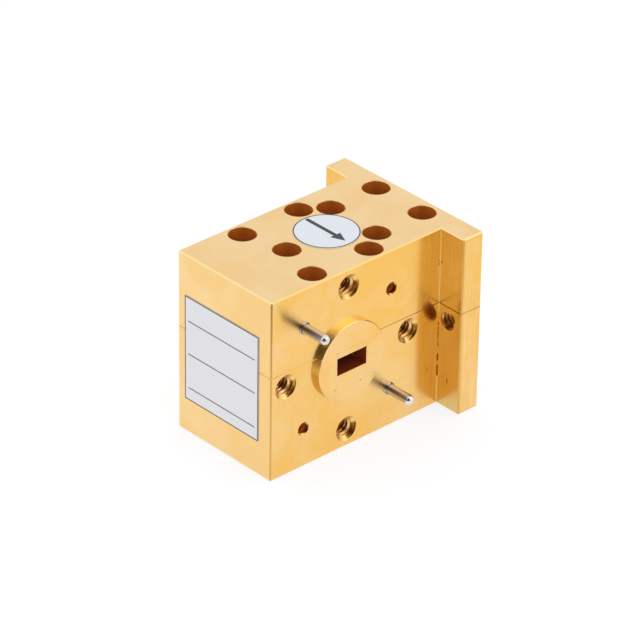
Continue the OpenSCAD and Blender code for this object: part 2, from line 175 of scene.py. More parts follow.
class PlatingSettings(bpy.types.PropertyGroup):
    """Colours, finish and marks of the gold plating."""

    # Face tones: random clouds, and the warmer one grows towards the right of the front as painted reflection
    face_pale: colour("Pale face gold", "Palest plating on the top and the ends of the block", "#F9D79B")
    face_rich: colour("Rich face gold", "Warmest plating on the top and the ends of the block", "#F7CE87")
    # Side tones: painted reflection, warmer on the port sides than on the top and ends, and on the left wing's
    # front
    side_pale: colour("Pale side gold", "Palest plating on the sides with the ports", "#F6CD89")
    side_rich: colour("Rich side gold", "Warmest plating on the sides with the ports", "#F6C265")
    # Corner tones: painted shade on the right wing's front, darkest at mid height, paler to the top and foot
    corner: colour("Corner gold", "Thinner plating on the front of the wings", "#DEBB70")
    corner_pale: colour("Pale corner gold", "The same plating towards the top and the foot", "#F0D79C")
    # Edge tones: a painted highlight on the edges facing up, painted shade on the other edges
    edge_highlight: colour("Pale edge gold", "Plating on the upper edges", "#FADCA0")
    edge_shade: colour("Rich edge gold", "Plating on the other edges", "#E0AC5C")
    # Inner line tone: painted shade in the rounded inner corners
    inner_corner_shade: colour("Inner line gold", "Plating in the inner corners of the block", "#D9A040")
    furrow: colour("Furrow gold", "Plating in the milling marks", "#E6B152")
    # Turned tones: a painted highlight on the tops of the turned walls, painted shade on their lower half
    turned: colour("Turned gold", "Plating on the tops of the turned walls of the raised faces", "#FCEBB0")
    turned_shade: colour("Rich turned gold", "Plating on the lower half of those walls", "#D6B46E")
    # Joint edge tone: painted shade that mutes the reflection on the fine edges along the joint
    joint_edge_shade: colour("Joint edge gold", "Plating on the fine edges along the joint", "#EAB96C")
    # Mouth tones: painted light on the lit side of a mouth, painted shade on its far side, with tool rings
    # there
    mouth: colour("Mouth gold", "Plating at the mouths of the holes", "#FAD078")
    shade: colour("Shaded gold", "Plating on the far side of the mouths, which sees only the hole", "#743C06")
    ring: colour("Ring gold", "Tool rings on that side", "#CC9232")
    # Bore tone: painted shade, browner and darker, deeper in the flange holes
    bore_shade: colour("Bore gold", "Plating deeper in the flange holes", "#D2742A")
    # Thread tones: painted shade in brown, random streaks of painted highlight, and a highlight on the first
    # crest
    flank_shade: colour("Flank gold", "Plating on the flanks of the threads", "#B0641C")
    crest: colour("Crest gold", "Plating on the crests of the threads", "#E2A95C")
    first_crest_highlight: colour("First crest gold", "Plating on the crest next to the mouth", "#F4D190")
    # Pocket and guide tones: painted shade, browner and darker, inside the screw pockets and the guide
    pocket: colour("Pocket gold", "Plating in the screw pockets", "#CC6E08")
    guide: colour("Guide gold", "Plating in the guide", "#98421A")
    # Speck tone: darkens the listed specks and the broken dark line in the inner corner
    speck: colour("Speck", "Specks that the plating left bare", "#5A3210")
    joint: colour("Joint", "Shadow in the joint between the two halves", "#B07C3C")
    roughness: share("Roughness", "Roughness of the plated faces", 0.22)
    drawn: share("Grain", "How far the upright milling marks draw out the reflections", 0.8)
    bore_roughness: share("Bore roughness", "Roughness of the walls of the holes", 0.5)
    top_metal: share("Top metal", "How metallic the satin top and bottom look", 0.5)
    mouth_metal: share("Mouth metal", "How metallic the mouths look", 0.8)
    shade_metal: share("Shade metal", "How metallic the far side of the mouths looks", 0.85)
    joint_metal: share("Joint metal", "How metallic the fine edges along the joint look", 0.8)
    pocket_metal: share("Pocket metal", "How metallic the dull walls of the screw pockets look", 0.3)
    guide_metal: share("Guide metal", "How metallic the walls of the guide look", 0.3)
    bore_metal: share("Bore metal", "How metallic the walls of the flange holes look", 0.15)
    cloud: length("Cloud size", "Size of the soft clouds in the plating", 7)
    grain: length("Grain width", "Width of the milling marks under the plating", 0.22)
    joint_width: length("Joint width", "Width of the joint's shadow", 0.19)
    rim: length("Rim", "Depth at which the threads hide the walls of the holes", 0.55)
    edge: length("Edge", "Width of the outer edges that stay plain", 0.25)
    pocket_rim: length("Pocket rim", "The same depth in the screw pockets", 0.12)
    pocket_width: length("Pocket width", "Width of the screw pockets", 4.2)
    screw_head: length("Screw head", "Height of the closing screws' heads", 2)
    wing: length("Wing", "Thickness of the wings", 3.95)
    end_reach: length("End reach", "From the inner corner out to where the ends of the wings are palest", 2)
    end_pale: share("End paleness", "How much paler the ends of the wings are", 0.7)
    # The wings' soft tips are painted shade, in the darker edge tone, at the front of the wing ends
    soft_reach: length("Soft reach", "Width of the warmer tone at the front edges of the wings", 0.7)
    soft_edge: share("Soft edge", "Strength of that tone", 0.6)
    raised_joint: share("Raised joint", "Strength of the joint's shadow on the raised port faces", 0.25)
    guide_width: length("Guide width", "Broad wall of the guide", 5.69)
    guide_height: length("Guide height", "Narrow wall of the guide", 2.845)


class ThreadSettings(bpy.types.PropertyGroup):
    """Sizes of the threads in the flange holes."""

    mouth: length("Mouth radius", "Radius of the holes at the port face", 2)
    mouth_depth: length("Mouth depth", "Depth of the widening at the port face", 0.48)
    start: length("Start", "From the port face to the middle of the first ridge", -0.3)
    pitch: length("Pitch", "Rise of the thread in one turn", 0.635)
    crest: length("Crest radius", "Radius inside the crests of the thread", 1.12)
    crest_flat: length("Crest flat", "Width of the flat crest", 0.1)
    root_flat: length("Root width", "Width of the ridge where it leaves the wall", 0.56)
    depth: length("Depth", "Depth that the tap reached", 3.5)
    sink: length("Sink", "How far the ridge reaches into the wall", 0.04)
    steps: IntProperty(name="Steps", description="Steps in one turn", default=48, min=12, max=96)


class SteelSettings(bpy.types.PropertyGroup):
    """Colours of the pins and screws."""

    pin: colour("Pin steel", "Colour of the polished pins", "#CECCD4")
    screw: colour("Screw steel", "Colour of the screws", "#B4B5B8")
    pin_roughness: share("Pin roughness", "Roughness of the ground pins", 0.23)
    pin_metal: share("Pin metal", "How metallic the ground pins look", 0.98)
    pin_drawn: share("Pin grain", "How far the grinding rings draw out the reflections", 0.9)
    tip: colour("Tip", "Colour of the rounded tips of the pins", "#E6E3E0")
    tip_roughness: share("Tip roughness", "Roughness of the polished tips of the pins", 0.14)
    tip_start: length("Tip start", "From the port face to where the tip begins", 4.15)
    # Collar tone: the pin's steel with a warmer painted shade at its foot, beside the gold face
    collar: colour("Collar", "Colour of the pressed shoulder at the foot of a pin", "#CDBCA8")
    collar_height: length("Collar height", "From the port face to the top of the pressed shoulder", 0.2)


class LabelSettings(bpy.types.PropertyGroup):
    """Sizes and colours of the two labels."""

    film: colour("Film", "Colour of the label on the front", "#E2E2E3")
    disc: colour("Disc", "Colour of the round label", "#E9ECEE")
    ink: colour("Ink", "Colour of the printed lines", "#38393C")
    border: length("Border", "Width of the printed border", 0.17)
    rule: length("Rule", "Width of the ruled lines", 0.16)
    rule_inset: length("Rule inset", "From the label's edge to the ends of the ruled lines", 0.75)
    print_height: length("Print height", "How far the print stands out of the film", 0.012)
    shaft_width: length("Shaft width", "Width of the arrow's shaft", 0.66)
    shaft_tail: length("Shaft tail", "From the middle of the label to the arrow's tail", 4.5)
    head_width: length("Head width", "Width of the arrow's head", 1.95)
    head_foot: length("Head foot", "From the middle of the label to the foot of the arrow's head", 1.65)
    head_tip: length("Head tip", "From the middle of the label to the arrow's tip", 3.83)
    arrow_set: length("Arrow set", "From the middle of the label back to the arrow", 0.16)


class CoreSettings(bpy.types.PropertyGroup):
    """Colours of the parts inside the block."""

    ferrite: colour("Ferrite", "Colour of the ferrite discs", "#3A3A3D")
    alumina: colour("Alumina", "Colour of the spacer", "#EDEBE4")
    magnet: colour("Magnet alloy", "Colour of the magnets", "#8A8B8F")


class StageSettings(bpy.types.PropertyGroup):
    """The camera, the floor and the light."""

    azimuth: angle("Azimuth", "Turn of the camera round the block, from the front to the right", 47.219)
    elevation: angle("Elevation", "Height of the camera above the horizon", 30.788)
    roll: angle("Roll", "Turn of the camera about its own axis", 0.872)
    distance: length("Distance", "From the camera to the point it looks at", 652.813)
    lens: FloatProperty(name="Lens", description="Focal length in millimetres", unit="CAMERA", default=252.408)
    aim: FloatVectorProperty(
        name="Aim", description="The point the camera looks at", subtype="TRANSLATION", unit="LENGTH",
        default=(0.0995 * MM, -1.1289 * MM, 15.3802 * MM),
    )
    floor: colour("Floor", "Colour of the paper that takes the shadow", "#8C8C8C")
    glow: FloatProperty(name="Floor glow", description="Even level of the floor", default=0.79, min=0)
    floor_reach: length("Floor reach", "Half the width of the floor", 3000)
    paper_near: length("Paper near", "From the block to where the floor begins to darken in reflections", 56)
    paper_far: length("Paper far", "From the block to where the floor is dark in reflections", 70)
    sky: colour("Sky", "Colour of the tent", "#F8F9FF")
    dark: colour("Dark", "Colour of the dark side, behind the camera", "#6E5438")
    core: colour("Core", "Colour of the camera in the middle of the dark side", "#322C28")
    core_spread: angle("Core spread", "Half the width of the camera in reflections", 26)
    dark_azimuth: angle("Dark azimuth", "Direction of the dark side of the studio", 41)
    dark_elevation: angle("Dark elevation", "Height of the dark side above the horizon", 12)
    dark_spread: angle("Dark spread", "Half the width of the dark side", 41)
    high_lamp: lamp_level("High lamp", "Level of the softbox at the right", (1.5, 1.5, 1.5))
    left_lamp: lamp_level("Left lamp", "Level of the softbox at the left", (1.15, 1.15, 1.1))
    high_azimuth: angle("High azimuth", "Direction of the softbox at the right", 124)
    high_elevation: angle("High elevation", "Height of the softbox at the right", 36)
    high_spread: angle("High spread", "Half the width of the softbox at the right", 24)
    left_azimuth: angle("Left azimuth", "Direction of the softbox at the left", -51)
    left_elevation: angle("Left elevation", "Height of the softbox at the left", 36)
    left_spread: angle("Left spread", "Half the width of the softbox at the left", 9)


def feed(tree, node, inputs):
    """Sets or links inputs, keyed by name or place. A node in place of a value stands for its first output."""
    for key, value in inputs.items():
        socket = node.inputs[key]
        if isinstance(value, bpy.types.Node):
            value = value.outputs[0]
        if isinstance(value, bpy.types.NodeSocket):
            tree.links.new(value, socket)
        else:
            socket.default_value = (*value, 1) if socket.type == "RGBA" else value


def add_node(tree, kind, inputs=None, **settings):
    """Adds a node with its settings, and sets or links its inputs."""
    made = tree.nodes.new("ShaderNode" + kind)
    for name, value in settings.items():
        setattr(made, name, value)
    feed(tree, made, inputs or {})
    return made


def start_material(name, roughness, metallic=0.0):
    """A material with its tree, its shader and the place on the piece in millimetres."""
    material = bpy.data.materials.new(name)
    material.use_nodes = True
    tree = material.node_tree
    shader = tree.nodes["Principled BSDF"]
    feed(tree, shader, {"Roughness": roughness, "Metallic": metallic})
    place = add_node(tree, "TexCoord").outputs["Object"]
    return material, tree, shader, add_node(tree, "VectorMath", {0: place, "Scale": PER_MM}, operation="SCALE")


def overlap(tree, *masks):
    """The mask where all of some masks hold. A pair is a value and the span that makes a mask of it."""
    whole = None
    for mask in masks:
        if isinstance(mask, tuple):
            mask = add_node(tree, "MapRange", {0: mask[0], **mask[1]})
        whole = mask if whole is None else add_node(tree, "Math", {0: whole, 1: mask}, operation="MULTIPLY")
    return whole


def lay_over(tree, tone, *coats):
    """A tone under coats of other tones. A coat is the masks that it keeps to, and then its own tone."""
    for *masks, coat in coats:
        mask = overlap(tree, *masks)
        tone = add_node(tree, "Mix", {0: mask, 6: tone, 7: coat}, data_type="RGBA").outputs[2]
    return tone


def box_depth(tree, place, boxes):
    """The distance from the nearest of some boxes, in millimetres; it is negative inside."""
    depth = None
    for low, high in boxes:
        middle = [(a + b) / 2 for a, b in zip(low, high)]
        half = [(b - a) / 2 for a, b in zip(low, high)]
        offset = add_node(tree, "VectorMath", {0: place, 1: middle}, operation="SUBTRACT")
        apart = add_node(tree, "VectorMath", {0: offset}, operation="ABSOLUTE")
        beyond = add_node(tree, "VectorMath", {0: apart, 1: half}, operation="SUBTRACT")
        x, y, z = add_node(tree, "SeparateXYZ", {0: beyond}).outputs
        most = add_node(tree, "Math", {0: x, 1: y}, operation="MAXIMUM")
        most = add_node(tree, "Math", {0: most, 1: z}, operation="MAXIMUM")
        depth = most if depth is None else add_node(tree, "Math", {0: most, 1: depth}, operation="MINIMUM")
    return depth


def pocket_depth(tree, place, settings):
    """The distance from the nearest screw pocket, in millimetres; it is negative inside."""
    x, y, z = add_node(tree, "SeparateXYZ", {0: place}).outputs
    flat = add_node(tree, "CombineXYZ", {0: add_node(tree, "Math", {0: x}, operation="ABSOLUTE"), 1: y})
    near = None
    for pocket in POCKETS:
        away = add_node(tree, "VectorMath", {0: flat, 1: (*pocket, 0)}, operation="DISTANCE").outputs["Value"]
        near = add_node(tree, "Math", {0: away, 1: near or away}, operation="MINIMUM")
    radius = PER_MM * settings.pocket_width / 2 + SKIN
    seat = PER_MM * (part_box("closing_screws")[1].z - settings.screw_head) - SKIN
    brim = PER_MM * (BLOCK_HIGH.z - settings.pocket_rim)
    depth = add_node(tree, "Math", {0: near, 1: radius}, operation="SUBTRACT")
    for high, low in ((seat, z), (z, brim)):
        outside = add_node(tree, "Math", {0: high, 1: low}, operation="SUBTRACT")
        depth = add_node(tree, "Math", {0: depth, 1: outside}, operation="MAXIMUM")
    return depth


def hole_zones(settings):
    """Corners, in millimetres, of boxes that hold no face of the block but walls of its holes:
    first those of the mouths, then those of the deeper holes and the guide."""
    middle, height = (PER_MM * value for value in MOUNTS["right_flange"]["pos_m"][1:])
    raised = PER_MM * MOUNTS["right_port"]["pos_m"][0]
    rear_raised = PER_MM * MOUNTS["rear_port"]["pos_m"][1]
    rim, edge = PER_MM * settings.rim, PER_MM * settings.edge
    broad, narrow = PER_MM * settings.guide_width / 2 + SKIN, PER_MM * settings.guide_height / 2 + SKIN
    end, front, wing_front = PER_MM * BLOCK_HIGH.x, PER_MM * BLOCK_LOW.y, REAR - PER_MM * settings.wing
    mouths, bores = (
        (
            ((depth - SIDE, front + edge, edge), (SIDE - depth, REAR - depth, TOP - edge)),
            ((edge - end, wing_front + margin, edge), (end - edge, REAR - depth, TOP - edge)),
        )
        for depth, margin in ((SKIN, edge), (rim, SKIN))
    )
    guides = (
        ((SKIN - raised, middle - broad, height - narrow), (raised - SKIN, middle + broad, height + narrow)),
        ((-broad, 0, height - narrow), (broad, rear_raised - SKIN, height + narrow)),
    )
    return mouths, bores, guides


def plating_places(tree, place, settings):
    """Places and facings on the block, and the masks that more than one pattern of its plating needs."""
    at = SimpleNamespace(place=place, facing=add_node(tree, "TexCoord").outputs["Normal"])
    at.x, at.y, z = add_node(tree, "SeparateXYZ", {0: place}).outputs
    at.to_right, at.to_rear, at.to_top = add_node(tree, "SeparateXYZ", {0: at.facing}).outputs
    heights = [
        add_node(tree, "Math", {0: z, 1: level}, operation="SUBTRACT")
        for level in (CORNER_MIDDLE, PER_MM * SEAM, TOP / 2)
    ]
    at.off_corner, at.off_joint, at.off_middle, at.out, at.sideways, lengthways, at.upward = (
        add_node(tree, "Math", {0: part}, operation="ABSOLUTE")
        for part in (*heights, at.x, at.to_right, at.to_rear, at.to_top)
    )
    most = add_node(tree, "Math", {0: at.sideways, 1: lengthways}, operation="MAXIMUM")
    most = add_node(tree, "Math", {0: most, 1: at.upward}, operation="MAXIMUM")
    at.aslant, at.behind, at.winged = (
        overlap(tree, pair)
        for pair in ((most, FACES_ASLANT), (at.y, TO_THE_REAR), (at.out, {1: SIDE, 2: SIDE + SKIN}))
    )
    unraised = add_node(tree, "Math", {0: 1, 1: at.winged}, operation="SUBTRACT")
    at.unraised = add_node(tree, "Math", {0: unraised, 1: at.behind}, operation="MAXIMUM")
    at.wing_front = REAR - PER_MM * settings.wing
    return at


def coat_faces(tree, at, settings):
    """The tone of the faces: soft clouds, warmer on the port sides, and its own tone on the front of a wing.
    The clouds vary at random; the warmth on the port sides, the left wing's front and the right of the front is
    painted reflection, and the right wing's front gets painted shade.
    """
    clouds = add_node(tree, "TexNoise", {
        "Vector": at.place, "Scale": MM / settings.cloud, "Detail": 4, "Roughness": 0.55, "Distortion": 0.4,
    })
    cloud, forward, rightward = (
        overlap(tree, pair) for pair in ((clouds, CLOUDS), (at.to_rear, FACES_FRONT), (at.x, TO_THE_RIGHT))
    )
    # Painted reflection: the front grows warmer towards the right
    warmth = add_node(
        tree, "Math", {0: forward, 1: rightward, 2: cloud}, operation="MULTIPLY_ADD", use_clamp=True,
    )
    faces = lay_over(tree, settings.face_pale, (warmth, settings.face_rich))
    # Painted reflection: the port sides grow warmer upwards and to the rear, and are pale at the ends of the
    # wings
    slant = add_node(tree, "VectorMath", {0: at.place, 1: WARM_SLANT}, operation="DOT_PRODUCT")
    rise = overlap(tree, (slant.outputs["Value"], UP_THE_SIDES))
    end = add_node(tree, "MapRange", {
        0: at.out, 1: SIDE, 2: SIDE + PER_MM * settings.end_reach, 4: -settings.end_pale,
    })
    warmth = add_node(tree, "Math", {0: rise, 1: end}, operation="ADD")
    warmth = add_node(tree, "Math", {0: cloud, 1: warmth}, operation="ADD", use_clamp=True)
    sides = lay_over(tree, settings.side_pale, (warmth, settings.side_rich))
    # The fronts of the wings: painted reflection in the warmest side tone on the left, painted shade on the
    # right
    right_front, left_front = (
        overlap(tree, (at.x, {1: way * SIDE, 2: way * (SIDE + SKIN)}), forward) for way in (1, -1)
    )
    # Painted shade on the right wing's front, darkest at mid height
    painted_corner_shade = lay_over(tree, settings.corner, ((at.off_corner, UP_THE_CORNER), settings.corner_pale))
    return lay_over(
        tree, faces, (at.sideways, sides), (left_front, settings.side_rich), (right_front, painted_corner_shade),
    )


def coat_edges(tree, at, settings, plated):
    """Lays painted light and shade on the edges: a highlight at the top of the front and right and shade on the
    others, the turned walls, with a highlight on top and shade below, and the wings' soft tips, in shade.
    """
    nook = box_depth(tree, at.place, [(
        (-SIDE - MARGIN, at.wing_front - MARGIN, NOOK_FOOT),
        (SIDE + MARGIN, at.wing_front + MARGIN, TOP - MARGIN),
    )])
    edge = overlap(tree, at.aslant, (at.off_joint, OFF_THE_JOINT), at.unraised, (nook, OFF_THE_NOOK))
    up_front, up_right = (overlap(tree, part, at.to_top) for part in (at.to_rear, at.to_right))
    # Painted highlight on the edges facing up to the front and right, painted shade on the rest
    painted_edge_tone = lay_over(
        tree, settings.edge_shade, ((up_front, FACES_UP_FRONT), settings.edge_highlight),
        ((up_right, FACES_UP_RIGHT), (at.winged, EDGE_OF_WING), settings.edge_highlight),
    )
    raised = add_node(tree, "Math", {0: 1, 1: at.unraised}, operation="SUBTRACT")
    # Painted highlight on the tops of the turned walls, painted shade on their lower half
    painted_wall_tone = lay_over(tree, settings.turned_shade, ((at.to_top, TURNED_CROWN), settings.turned))
    reach = PER_MM * settings.soft_reach
    soft = {1: at.wing_front + reach, 2: at.wing_front + FADE, 4: settings.soft_edge}
    return lay_over(
        tree, plated, (edge, painted_edge_tone), (raised, (at.sideways, TURNED_WALL), painted_wall_tone),
        (at.sideways, (at.y, soft), at.behind, at.winged, settings.edge_shade),
    )


def mark_faces(tree, at, settings, plated):
    """Lays on upright milling marks, clearest on the wings, and painted shade in the rounded inner corners.
    Gives the tone and the surface's direction.
    """
    upright = add_node(tree, "Mapping", {"Vector": at.place, "Scale": MARK_SHAPE})
    marks = add_node(tree, "TexNoise", {
        "Vector": upright, "Scale": MM / settings.grain, "Detail": 3, "Roughness": 0.6,
    })
    marked = overlap(tree, (at.y, MARKED), (at.upward, FACES_LEVEL))
    bump = add_node(tree, "Bump", {"Height": marks, "Strength": marked, "Distance": MARK_HEIGHT})
    # The cutter left the inner corners of the block a little round; a darker tone is painted there as shade
    corners = [
        (
            (way * SIDE - ROUND_HALF, at.wing_front - ROUND_HALF, low),
            (way * SIDE + ROUND_HALF, at.wing_front + ROUND_HALF, high),
        )
        for way in (-1, 1) for low, high in ((MARGIN, ROUND_LOW), (ROUND_HIGH, TOP - MARGIN))
    ]
    rounded = overlap(tree, (box_depth(tree, at.place, corners), ROUNDED))
    way = add_node(tree, "Math", {0: at.x}, operation="SIGN")
    diagonal = add_node(tree, "CombineXYZ", {0: way, 1: -1})
    normal = add_node(tree, "Mix", {0: rounded, 4: bump, 5: diagonal}, data_type="VECTOR")
    plated = lay_over(
        tree, plated, (rounded, settings.inner_corner_shade),
        ((marks, FURROWED), (at.to_rear, FACES_REAR), marked, settings.furrow),
    )
    return plated, normal.outputs[1]


def coat_holes(tree, at, settings, plated):
    """Lays on the walls of the holes, seen after more than one reflection, with dull ones in the pockets and
    the
    guide: painted light and shade on the lit and far sides of the mouths, and browner tones painted as shade
    deeper in. Gives the tone, the share of metal and the roughness."""
    depths = [box_depth(tree, at.place, zones) for zones in hole_zones(settings)]
    depths.append(pocket_depth(tree, at.place, settings))
    masks = [overlap(tree, (depth, {1: 0, 2: -SKIN})) for depth in depths]
    far_side = add_node(tree, "VectorMath", {0: at.facing, 1: SHADED_FACING}, operation="DOT_PRODUCT")
    shaded = overlap(tree, (far_side.outputs["Value"], SHADED))
    cut = add_node(tree, "Mapping", {"Vector": at.place, "Scale": RING_SHAPE})
    rings = add_node(tree, "TexNoise", {"Vector": cut, "Scale": 1 / RING, "Detail": 1})
    far_tone = lay_over(tree, settings.shade, ((rings, RINGED), settings.ring))
    mouth = lay_over(tree, settings.mouth, (shaded, far_tone))
    # Painted light and shade at the mouths, and browner painted shade deeper in the holes, the guide and
    # pockets
    plated = lay_over(tree, plated, *zip(masks, (mouth, settings.bore_shade, settings.guide, settings.pocket)))
    duller = add_node(tree, "MapRange", {0: shaded, 3: settings.mouth_metal, 4: settings.shade_metal})
    metal = add_node(tree, "MapRange", {
        0: at.off_middle, 1: TOP / 2 - FADE, 2: TOP / 2 - FADE / 2, 3: 1, 4: settings.top_metal,
    })
    rough = settings.roughness
    for mask, share_of_metal, dullness in zip(
        masks, (duller, settings.bore_metal, settings.guide_metal, settings.pocket_metal),
        (settings.roughness, *[settings.bore_roughness] * 3),
    ):
        metal = add_node(tree, "Mix", {0: mask, 2: metal, 3: share_of_metal})
        rough = add_node(tree, "Mix", {0: mask, 2: rough, 3: dullness})
    return plated, metal, rough


def shade_joint(tree, at, settings, plated, metal):
    """Lays on the painted shadow in the joint, fainter to the front, near the rear corner and on the raised
    faces, and painted shade on the fine edges along it. Gives the tone and the share of metal."""
    half = PER_MM * settings.joint_width / 2
    line = overlap(tree, (at.off_joint, {1: half, 2: half / 2}))
    faint = add_node(tree, "MapRange", {
        0: at.out, 1: SIDE + 2 * FADE, 2: SIDE + 3 * FADE, 3: 1, 4: settings.raised_joint,
    })
    faint = add_node(tree, "Math", {0: faint, 1: at.behind}, operation="MAXIMUM")
    shadow_lifted = overlap(tree, (at.y, CORNER_JOINT))
    shadow_lifted = add_node(tree, "Math", {0: shadow_lifted, 1: at.winged}, operation="SUBTRACT")
    fine = overlap(tree, line, at.aslant)
    plated = lay_over(
        tree, plated, (fine, settings.joint_edge_shade),
        (line, (at.y, JOINT_FADE), (shadow_lifted, {3: 1, 4: 0}), faint, settings.joint),
    )
    return plated, add_node(tree, "Mix", {0: fine, 2: metal, 3: settings.joint_metal})


def leave_specks(tree, at, settings, plated):
    """Lays on the dark specks, and a broken dark line in the inner corner."""
    drawn_out = add_node(tree, "Mapping", {"Vector": at.place, "Scale": FLECK_SHAPE})
    flecks = add_node(tree, "TexNoise", {"Vector": drawn_out, "Scale": 1 / FLECK, "Detail": 3})
    for marks_at, strength in ((SPECKS, SPECK_STRENGTH), ((DARK_CORNER_LINE,), (flecks, BROKEN))):
        boxes = [[[c + way * h for c, h in zip(middle, half)] for way in (-1, 1)] for middle, half in marks_at]
        depth = box_depth(tree, at.place, boxes)
        plated = lay_over(tree, plated, ((depth, SPECKED), strength, settings.speck))
    return plated


def plated_gold(settings):
    """Gold plating over milled brass: a warm satin mirror with soft clouds, with painted light and shade on its
    faces, edges and corners, and browner painted shade in the holes.
    """
    material, tree, shader, place = start_material("gold_plate_milled", settings.roughness, metallic=1.0)
    at = plating_places(tree, place, settings)
    plated = coat_edges(tree, at, settings, coat_faces(tree, at, settings))
    plated, normal = mark_faces(tree, at, settings, plated)
    plated, metal, rough = coat_holes(tree, at, settings, plated)
    plated, metal = shade_joint(tree, at, settings, plated, metal)
    plated = leave_specks(tree, at, settings, plated)
    grain = add_node(tree, "CombineXYZ", dict(enumerate(GRAIN_LIE)))
    feed(tree, shader, {
        "Base Color": plated, "Metallic": metal, "Roughness": rough, "Normal": normal,
        "Anisotropic": settings.drawn, "Tangent": grain,
    })
    return material


def thread_gold(settings):
    """Gold plating on a cut thread: brown painted as shade inside the hole, paler streaks at random as painted
    highlights, and a painted highlight on the crest next to the mouth.
    """
    material, tree, shader, place = start_material("gold_plate_tapped", roughness=0.28, metallic=0.9)
    grain = add_node(tree, "TexNoise", {"Vector": place, "Scale": 1 / STREAK, "Detail": 3})
    shallow, deep = CREST_DEPTHS
    mirrored = add_node(tree, "VectorMath", {0: place}, operation="ABSOLUTE")
    outer = box_depth(tree, mirrored, [
        ((SIDE - deep, -BEYOND, -BEYOND), (SIDE - shallow, BEYOND, BEYOND)),
        ((-BEYOND, REAR - deep, -BEYOND), (BEYOND, REAR - shallow, BEYOND)),
    ])
    tone = lay_over(
        # Painted shade in brown, random painted highlights, and a painted highlight on the crest next to the
        # mouth
        tree, settings.flank_shade, ((grain, STREAKED), settings.crest), ((outer, FIRST_CREST), settings.first_crest_highlight),
    )
    feed(tree, shader, {"Base Color": tone})
    return material


def polished_steel(settings, name, axis, foot):
    """Centreless ground stainless steel: fine rings round the pin draw its reflections out along it."""
    material, tree, shader, place = start_material(name, settings.pin_roughness, settings.pin_metal)
    spots = add_node(tree, "TexNoise", {"Vector": place, "Scale": 1 / SPOT, "Detail": 2})
    level = add_node(tree, "VectorMath", {0: place, 1: axis}, operation="DOT_PRODUCT").outputs["Value"]
    top, rounding = (PER_MM * (foot + height) for height in (settings.collar_height, settings.tip_start))
    tip = overlap(tree, (level, {1: rounding, 2: rounding + FADE}))
    # A warmer painted shade on the collar at the pin's foot
    tone = lay_over(
        tree, settings.pin, (spots, [0.92 * c for c in settings.pin]),
        ((level, {1: top + SKIN, 2: top}), settings.collar), (tip, settings.tip),
    )
    rough = add_node(tree, "Mix", {0: tip, 2: settings.pin_roughness, 3: settings.tip_roughness})
    along = add_node(tree, "CombineXYZ", dict(enumerate(axis)))
    feed(tree, shader, {
        "Base Color": tone, "Roughness": rough, "Anisotropic": settings.pin_drawn, "Tangent": along,
    })
    return material


def speckle(name, tint, deepest, grain, detail, roughness, metallic=0.0, relief=0.0):
    """A finish in specks that go from its tint to a share of it, with relief if it has any. Their grain is in
    millimetres. The real grains are finer than a pixel, so each is drawn as coarse as it needs to show."""
    material, tree, shader, place = start_material(name, roughness, metallic)
    specks = add_node(tree, "TexNoise", {"Vector": place, "Scale": 1 / grain, "Detail": detail})
    feed(tree, shader, {"Base Color": lay_over(tree, tint, (specks, [deepest * c for c in tint]))})
    if relief:
        bump = add_node(tree, "Bump", {"Height": specks, "Strength": relief, "Distance": SPECKLE_HEIGHT})
        feed(tree, shader, {"Normal": bump})
    return material


def screw_steel(settings):
    """Cold headed stainless steel: a duller grey metal with a fine tumbled grain."""
    return speckle(
        "stainless_steel_tumbled", settings.screw, deepest=0.85, grain=1 / 6, detail=3, roughness=0.32,
        metallic=1.0, relief=0.4,
    )


def satin_film(name, tint):
    """Polyester label film, satin coated: a smooth pale skin with a weak, wide shine."""
    return speckle(name, tint, deepest=0.97, grain=1.25, detail=3, roughness=0.42, relief=0.2)


def printed_ink(settings):
    """Thermal transfer ink on film: a dark, dull line that varies a little in depth."""
    return speckle("label_ink_printed", settings.ink, deepest=1.25, grain=1 / 3, detail=2, roughness=0.55)


def ground_ceramic(name, tint, roughness, grain):
    """Sintered ceramic, ground flat: an even, fine speckle and a dull shine."""
    return speckle(name, tint, deepest=0.85, grain=grain, detail=3, roughness=roughness)


def cast_magnet(settings):
    """Sintered magnet alloy, ground on its faces: grey metal with a cloudy, slightly open grain."""
    return speckle(
        "magnet_alloy_ground", settings.magnet, deepest=0.75, grain=1 / 3, detail=4, roughness=0.38,
        metallic=1.0,
    )


def dress(material, *nodes):
    """Gives CAD nodes their finish."""
    for node in nodes:
        frame["nodes"][node].data.materials[0] = material


def make_object(name, form, material):
    """Turns a bmesh into an object of one material."""
    mesh = bpy.data.meshes.new(name)
    form.to_mesh(mesh)
    form.free()
    mesh.materials.append(material)
    made = bpy.data.objects.new(name, mesh)
    bpy.context.scene.collection.objects.link(made)
    return made


def add_piece(name, form, material):
    """Turns a bmesh into a piece of the block."""
    piece = make_object(name, form, material)
    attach(piece, BODY)
    return piece


def port_places(port):
    """The port's centre on the block, and the directions to its right and out, seen from outside."""
    flange = MOUNTS[f"{port}_flange"]
    out = Vector(flange["axis"])
    return Vector(flange["pos_m"]), UP.cross(out), out


def add_sheet(form, points):
    """Adds one flat face with its corners at some points."""
    return form.faces.new([form.verts.new(point) for point in points])


def raise_faces(form, faces, step):
    """Extrudes faces by a step, so that they become solid."""
    grown = bmesh.ops.extrude_face_region(form, geom=faces)
    points = [part for part in grown["geom"] if isinstance(part, bmesh.types.BMVert)]
    bmesh.ops.translate(form, verts=points, vec=step)
    bmesh.ops.recalc_face_normals(form, faces=form.faces)


